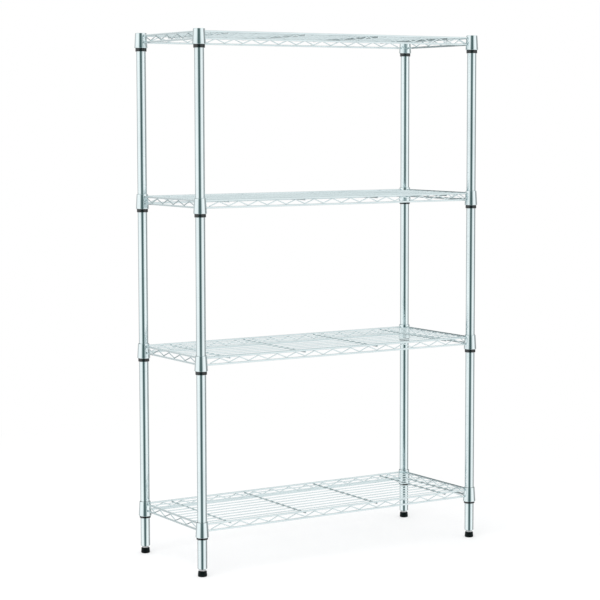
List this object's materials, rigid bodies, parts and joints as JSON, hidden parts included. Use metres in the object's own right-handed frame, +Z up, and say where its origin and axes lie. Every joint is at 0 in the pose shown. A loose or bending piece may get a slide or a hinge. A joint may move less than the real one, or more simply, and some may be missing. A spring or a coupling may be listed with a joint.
{
  "type": "wire shelving unit",
  "caption": "Free-standing chrome wire shelving unit: grooved tube posts on screw feet, welded wire shelves with tapered corner collars on split sleeves.",
  "frame": {"origin": "middle of the footprint, on the floor under the foot pads", "axes": "+Z up along the posts, +X along the shelves' long side, +Y from front to back"},
  "size_m": [0.903, 0.356, 1.417],
  "materials": {
    "post_chrome": "bright chrome plate over rolled tube",
    "collar_chrome": "bright chrome plate, slightly softened by forming",
    "wire_chrome": "bright chrome plate over drawn wire",
    "zinc_steel": "zinc plated thread",
    "black_plastic": "fine moulded matt black"
  },
  "bodies": {
    "frame": {"post_front_left": "post_chrome", "post_front_right": "post_chrome", "post_back_left": "post_chrome", "post_back_right": "post_chrome", "cap_front_left": "black_plastic", "cap_front_right": "black_plastic", "cap_back_left": "black_plastic", "cap_back_right": "black_plastic", "bush_front_left": "zinc_steel", "bush_front_right": "zinc_steel", "bush_back_left": "zinc_steel", "bush_back_right": "zinc_steel", "sleeves_1_left_halves": "black_plastic", "sleeves_1_right_halves": "black_plastic", "sleeves_2_left_halves": "black_plastic", "sleeves_2_right_halves": "black_plastic", "sleeves_3_left_halves": "black_plastic", "sleeves_3_right_halves": "black_plastic", "sleeves_4_left_halves": "black_plastic", "sleeves_4_right_halves": "black_plastic"},
    "shelf_1": {"shelf_1_collars": "collar_chrome", "shelf_1_top_rims": "wire_chrome", "shelf_1_bottom_rims": "wire_chrome", "shelf_1_long_zigzags": "wire_chrome", "shelf_1_short_zigzags": "wire_chrome", "shelf_1_deck_wires": "wire_chrome", "shelf_1_cross_wires": "wire_chrome"},
    "shelf_2": {"shelf_2_collars": "collar_chrome", "shelf_2_top_rims": "wire_chrome", "shelf_2_bottom_rims": "wire_chrome", "shelf_2_long_zigzags": "wire_chrome", "shelf_2_short_zigzags": "wire_chrome", "shelf_2_deck_wires": "wire_chrome", "shelf_2_cross_wires": "wire_chrome"},
    "shelf_3": {"shelf_3_collars": "collar_chrome", "shelf_3_top_rims": "wire_chrome", "shelf_3_bottom_rims": "wire_chrome", "shelf_3_long_zigzags": "wire_chrome", "shelf_3_short_zigzags": "wire_chrome", "shelf_3_deck_wires": "wire_chrome", "shelf_3_cross_wires": "wire_chrome"},
    "shelf_4": {"shelf_4_collars": "collar_chrome", "shelf_4_top_rims": "wire_chrome", "shelf_4_bottom_rims": "wire_chrome", "shelf_4_long_zigzags": "wire_chrome", "shelf_4_short_zigzags": "wire_chrome", "shelf_4_deck_wires": "wire_chrome", "shelf_4_cross_wires": "wire_chrome"},
    "screw_front_left": {"screw_front_left": "zinc_steel"},
    "pad_front_left": {"pad_front_left": "black_plastic"},
    "screw_front_right": {"screw_front_right": "zinc_steel"},
    "pad_front_right": {"pad_front_right": "black_plastic"},
    "screw_back_left": {"screw_back_left": "zinc_steel"},
    "pad_back_left": {"pad_back_left": "black_plastic"},
    "screw_back_right": {"screw_back_right": "zinc_steel"},
    "pad_back_right": {"pad_back_right": "black_plastic"}
  },
  "joints": [
    {"name": "shelf_1_lift", "type": "slide", "parent": "frame", "child": "shelf_1", "axis": [0, 0, 1], "range_m": [0, 0.381]},
    {"name": "shelf_2_lift", "type": "slide", "parent": "frame", "child": "shelf_2", "axis": [0, 0, 1], "range_m": [0, 0.352]},
    {"name": "shelf_3_lift", "type": "slide", "parent": "frame", "child": "shelf_3", "axis": [0, 0, 1], "range_m": [0, 0.378]},
    {"name": "shelf_4_lift", "type": "slide", "parent": "frame", "child": "shelf_4", "axis": [0, 0, 1], "range_m": [0, 0.08]},
    {"name": "foot_front_left_travel", "type": "slide", "parent": "frame", "child": "screw_front_left", "axis": [0, 0, 1], "range_m": [-0.015, 0]},
    {"name": "foot_front_left_turn", "type": "hinge", "parent": "screw_front_left", "child": "pad_front_left", "pos_m": [-0.434, -0.1605, 0], "axis": [0, 0, 1], "range_deg": [-3600, 0]},
    {"name": "foot_front_right_travel", "type": "slide", "parent": "frame", "child": "screw_front_right", "axis": [0, 0, 1], "range_m": [-0.015, 0]},
    {"name": "foot_front_right_turn", "type": "hinge", "parent": "screw_front_right", "child": "pad_front_right", "pos_m": [0.434, -0.1605, 0], "axis": [0, 0, 1], "range_deg": [-3600, 0]},
    {"name": "foot_back_left_travel", "type": "slide", "parent": "frame", "child": "screw_back_left", "axis": [0, 0, 1], "range_m": [-0.015, 0]},
    {"name": "foot_back_left_turn", "type": "hinge", "parent": "screw_back_left", "child": "pad_back_left", "pos_m": [-0.434, 0.1605, 0], "axis": [0, 0, 1], "range_deg": [-3600, 0]},
    {"name": "foot_back_right_travel", "type": "slide", "parent": "frame", "child": "screw_back_right", "axis": [0, 0, 1], "range_m": [-0.015, 0]},
    {"name": "foot_back_right_turn", "type": "hinge", "parent": "screw_back_right", "child": "pad_back_right", "pos_m": [0.434, 0.1605, 0], "axis": [0, 0, 1], "range_deg": [-3600, 0]}
  ],
  "couplings": [
    {"joint": "foot_front_left_turn", "follows": "foot_front_left_travel", "rad_per_m": 4188.8},
    {"joint": "foot_front_right_turn", "follows": "foot_front_right_travel", "rad_per_m": 4188.8},
    {"joint": "foot_back_left_turn", "follows": "foot_back_left_travel", "rad_per_m": 4188.8},
    {"joint": "foot_back_right_turn", "follows": "foot_back_right_travel", "rad_per_m": 4188.8}
  ]
}
